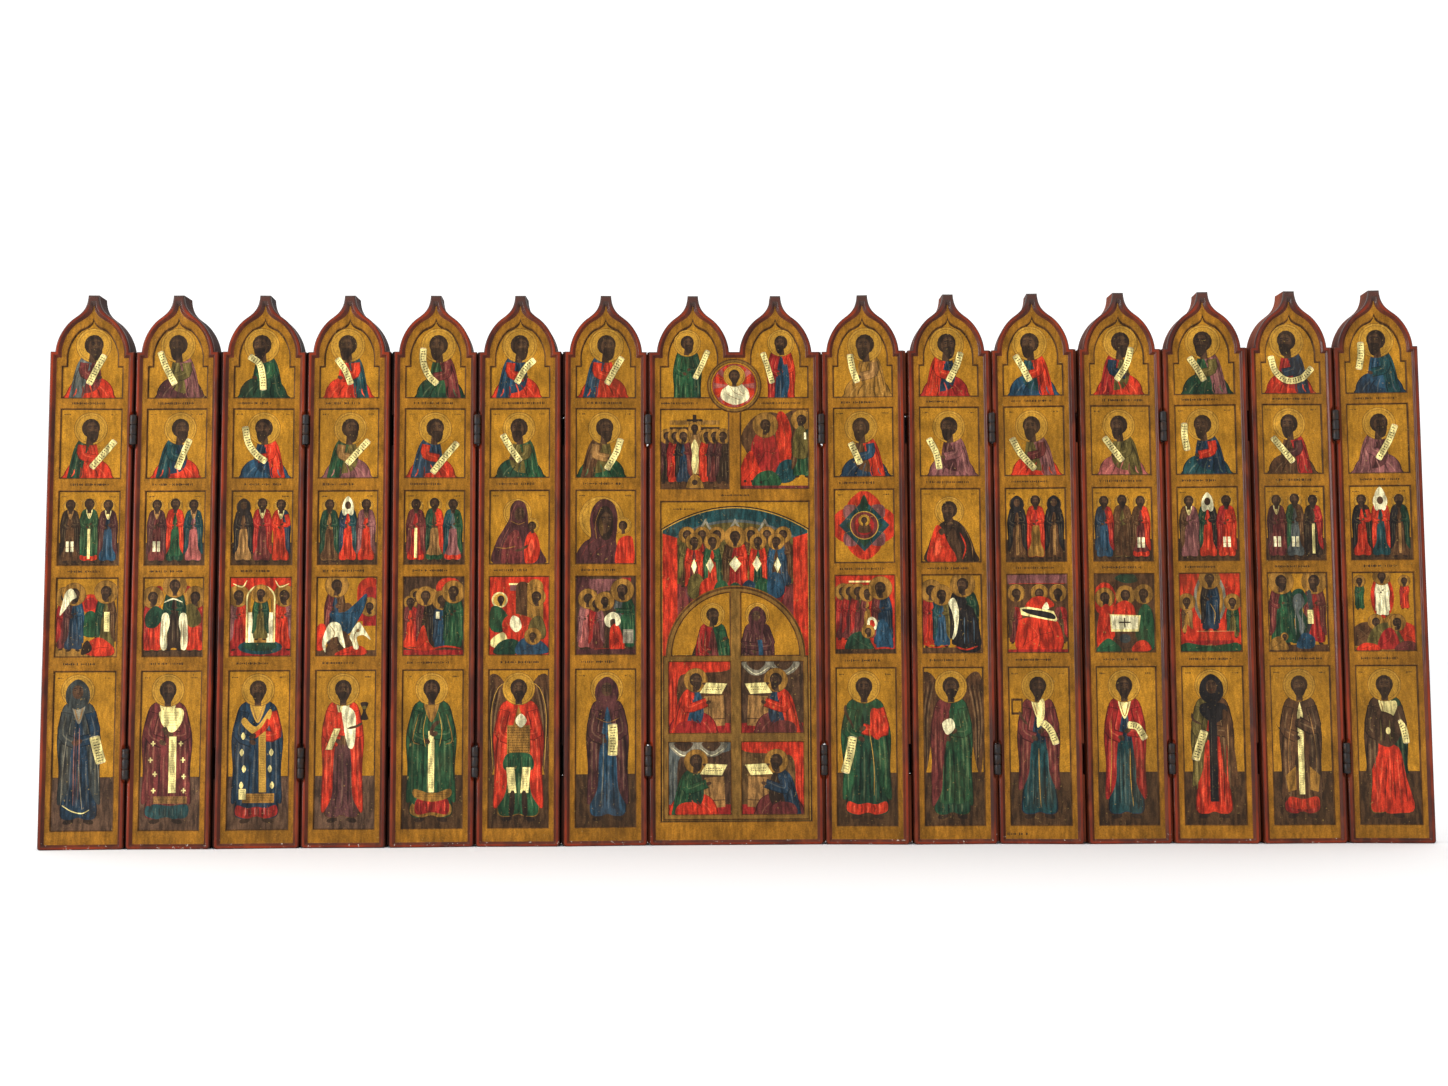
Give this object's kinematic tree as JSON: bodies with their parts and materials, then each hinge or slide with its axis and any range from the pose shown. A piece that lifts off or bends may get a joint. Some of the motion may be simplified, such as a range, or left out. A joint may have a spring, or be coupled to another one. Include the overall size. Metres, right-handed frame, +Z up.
{
  "type": "travel icon",
  "caption": "Folding travel icon screen: a double centre leaf with a carved door and two wings of hinged keel-arched wooden leaves that fold flat in front of it.",
  "frame": {"origin": "middle of the bounding box on the surface it stands on", "axes": "+X along the opened screen to the viewer's right, +Z up, painted front towards -Y"},
  "size_m": [1.1956, 0.0432, 0.48],
  "materials": {
    "centre_leaf": "gilt and tempera-painted gesso on wood under aged varnish, red-brown edges",
    "left_hinge_1_lower": "dark hammered iron",
    "left_hinge_1_upper": "dark hammered iron",
    "left_hinge_2_lower": "dark hammered iron",
    "left_hinge_2_upper": "dark hammered iron",
    "left_hinge_3_lower": "dark hammered iron",
    "left_hinge_3_upper": "dark hammered iron",
    "left_hinge_4_lower": "dark hammered iron",
    "left_hinge_4_upper": "dark hammered iron",
    "left_hinge_5_lower": "dark hammered iron",
    "left_hinge_5_upper": "dark hammered iron",
    "left_hinge_6_lower": "dark hammered iron",
    "left_hinge_6_upper": "dark hammered iron",
    "left_hinge_7_lower": "dark hammered iron",
    "left_hinge_7_upper": "dark hammered iron",
    "left_leaf_1": "gilt and tempera-painted gesso on wood under aged varnish, red-brown edges",
    "left_leaf_2": "gilt and tempera-painted gesso on wood under aged varnish, red-brown edges",
    "left_leaf_3": "gilt and tempera-painted gesso on wood under aged varnish, red-brown edges",
    "left_leaf_4": "gilt and tempera-painted gesso on wood under aged varnish, red-brown edges",
    "left_leaf_5": "gilt and tempera-painted gesso on wood under aged varnish, red-brown edges",
    "left_leaf_6": "gilt and tempera-painted gesso on wood under aged varnish, red-brown edges",
    "left_leaf_7": "gilt and tempera-painted gesso on wood under aged varnish, red-brown edges",
    "right_hinge_1_lower": "dark hammered iron",
    "right_hinge_1_upper": "dark hammered iron",
    "right_hinge_2_lower": "dark hammered iron",
    "right_hinge_2_upper": "dark hammered iron",
    "right_hinge_3_lower": "dark hammered iron",
    "right_hinge_3_upper": "dark hammered iron",
    "right_hinge_4_lower": "dark hammered iron",
    "right_hinge_4_upper": "dark hammered iron",
    "right_hinge_5_lower": "dark hammered iron",
    "right_hinge_5_upper": "dark hammered iron",
    "right_hinge_6_lower": "dark hammered iron",
    "right_hinge_6_upper": "dark hammered iron",
    "right_hinge_7_lower": "dark hammered iron",
    "right_hinge_7_upper": "dark hammered iron",
    "right_leaf_1": "gilt and tempera-painted gesso on wood under aged varnish, red-brown edges",
    "right_leaf_2": "gilt and tempera-painted gesso on wood under aged varnish, red-brown edges",
    "right_leaf_3": "gilt and tempera-painted gesso on wood under aged varnish, red-brown edges",
    "right_leaf_4": "gilt and tempera-painted gesso on wood under aged varnish, red-brown edges",
    "right_leaf_5": "gilt and tempera-painted gesso on wood under aged varnish, red-brown edges",
    "right_leaf_6": "gilt and tempera-painted gesso on wood under aged varnish, red-brown edges",
    "right_leaf_7": "gilt and tempera-painted gesso on wood under aged varnish, red-brown edges"
  },
  "bodies": {
    "centre": {"centre_leaf": "centre_leaf", "left_hinge_1_lower": "left_hinge_1_lower", "left_hinge_1_upper": "left_hinge_1_upper", "right_hinge_1_lower": "right_hinge_1_lower", "right_hinge_1_upper": "right_hinge_1_upper"},
    "left_1": {"left_leaf_1": "left_leaf_1", "left_hinge_2_lower": "left_hinge_2_lower", "left_hinge_2_upper": "left_hinge_2_upper"},
    "left_2": {"left_leaf_2": "left_leaf_2", "left_hinge_3_lower": "left_hinge_3_lower", "left_hinge_3_upper": "left_hinge_3_upper"},
    "left_3": {"left_leaf_3": "left_leaf_3", "left_hinge_4_lower": "left_hinge_4_lower", "left_hinge_4_upper": "left_hinge_4_upper"},
    "left_4": {"left_leaf_4": "left_leaf_4", "left_hinge_5_lower": "left_hinge_5_lower", "left_hinge_5_upper": "left_hinge_5_upper"},
    "left_5": {"left_leaf_5": "left_leaf_5", "left_hinge_6_lower": "left_hinge_6_lower", "left_hinge_6_upper": "left_hinge_6_upper"},
    "left_6": {"left_leaf_6": "left_leaf_6", "left_hinge_7_lower": "left_hinge_7_lower", "left_hinge_7_upper": "left_hinge_7_upper"},
    "left_7": {"left_leaf_7": "left_leaf_7"},
    "right_1": {"right_leaf_1": "right_leaf_1", "right_hinge_2_lower": "right_hinge_2_lower", "right_hinge_2_upper": "right_hinge_2_upper"},
    "right_2": {"right_leaf_2": "right_leaf_2", "right_hinge_3_lower": "right_hinge_3_lower", "right_hinge_3_upper": "right_hinge_3_upper"},
    "right_3": {"right_leaf_3": "right_leaf_3", "right_hinge_4_lower": "right_hinge_4_lower", "right_hinge_4_upper": "right_hinge_4_upper"},
    "right_4": {"right_leaf_4": "right_leaf_4", "right_hinge_5_lower": "right_hinge_5_lower", "right_hinge_5_upper": "right_hinge_5_upper"},
    "right_5": {"right_leaf_5": "right_leaf_5", "right_hinge_6_lower": "right_hinge_6_lower", "right_hinge_6_upper": "right_hinge_6_upper"},
    "right_6": {"right_leaf_6": "right_leaf_6", "right_hinge_7_lower": "right_hinge_7_lower", "right_hinge_7_upper": "right_hinge_7_upper"},
    "right_7": {"right_leaf_7": "right_leaf_7"}
  },
  "joints": [
    {"name": "left_fold_1", "type": "hinge", "parent": "centre", "child": "left_1", "pos_m": [-0.07672, -0.00097, 0.24], "axis": [0, 0, 1], "range_deg": [-2.5, 175.5]},
    {"name": "left_fold_2", "type": "hinge", "parent": "left_1", "child": "left_2", "pos_m": [-0.15146, 0.01899, 0.24], "axis": [0, 0, -1], "range_deg": [-4, 174.05]},
    {"name": "left_fold_3", "type": "hinge", "parent": "left_2", "child": "left_3", "pos_m": [-0.22584, -0.00227, 0.24], "axis": [0, 0, 1], "range_deg": [-4, 174.05]},
    {"name": "left_fold_4", "type": "hinge", "parent": "left_3", "child": "left_4", "pos_m": [-0.30058, 0.01769, 0.24], "axis": [0, 0, -1], "range_deg": [-4, 174.05]},
    {"name": "left_fold_5", "type": "hinge", "parent": "left_4", "child": "left_5", "pos_m": [-0.37497, -0.00357, 0.24], "axis": [0, 0, 1], "range_deg": [-4, 174.05]},
    {"name": "left_fold_6", "type": "hinge", "parent": "left_5", "child": "left_6", "pos_m": [-0.44971, 0.01639, 0.24], "axis": [0, 0, -1], "range_deg": [-4, 174.05]},
    {"name": "left_fold_7", "type": "hinge", "parent": "left_6", "child": "left_7", "pos_m": [-0.52409, -0.00487, 0.24], "axis": [0, 0, 1], "range_deg": [-4, 174.05]},
    {"name": "right_fold_1", "type": "hinge", "parent": "centre", "child": "right_1", "pos_m": [0.07528, -0.00097, 0.24], "axis": [0, 0, -1], "range_deg": [-4.5, 173.5]},
    {"name": "right_fold_2", "type": "hinge", "parent": "right_1", "child": "right_2", "pos_m": [0.15067, 0.01637, 0.24], "axis": [0, 0, 1], "range_deg": [-5, 173.05]},
    {"name": "right_fold_3", "type": "hinge", "parent": "right_2", "child": "right_3", "pos_m": [0.22467, -0.00618, 0.24], "axis": [0, 0, -1], "range_deg": [-5, 173.05]},
    {"name": "right_fold_4", "type": "hinge", "parent": "right_3", "child": "right_4", "pos_m": [0.30007, 0.01116, 0.24], "axis": [0, 0, 1], "range_deg": [-5, 173.05]},
    {"name": "right_fold_5", "type": "hinge", "parent": "right_4", "child": "right_5", "pos_m": [0.37407, -0.0114, 0.24], "axis": [0, 0, -1], "range_deg": [-5, 173.05]},
    {"name": "right_fold_6", "type": "hinge", "parent": "right_5", "child": "right_6", "pos_m": [0.44946, 0.00594, 0.24], "axis": [0, 0, 1], "range_deg": [-5, 173.05]},
    {"name": "right_fold_7", "type": "hinge", "parent": "right_6", "child": "right_7", "pos_m": [0.52346, -0.01662, 0.24], "axis": [0, 0, -1], "range_deg": [-5, 173.05]}
  ],
  "couplings": [
    {"joint": "left_fold_2", "follows": "left_fold_1", "ratio": 0.99145},
    {"joint": "left_fold_3", "follows": "left_fold_1", "ratio": 0.99145},
    {"joint": "left_fold_4", "follows": "left_fold_1", "ratio": 0.99145},
    {"joint": "left_fold_5", "follows": "left_fold_1", "ratio": 0.99145},
    {"joint": "left_fold_6", "follows": "left_fold_1", "ratio": 0.99145},
    {"joint": "left_fold_7", "follows": "left_fold_1", "ratio": 0.99145},
    {"joint": "right_fold_2", "follows": "right_fold_1", "ratio": 0.99712},
    {"joint": "right_fold_3", "follows": "right_fold_1", "ratio": 0.99712},
    {"joint": "right_fold_4", "follows": "right_fold_1", "ratio": 0.99712},
    {"joint": "right_fold_5", "follows": "right_fold_1", "ratio": 0.99712},
    {"joint": "right_fold_6", "follows": "right_fold_1", "ratio": 0.99712},
    {"joint": "right_fold_7", "follows": "right_fold_1", "ratio": 0.99712}
  ]
}
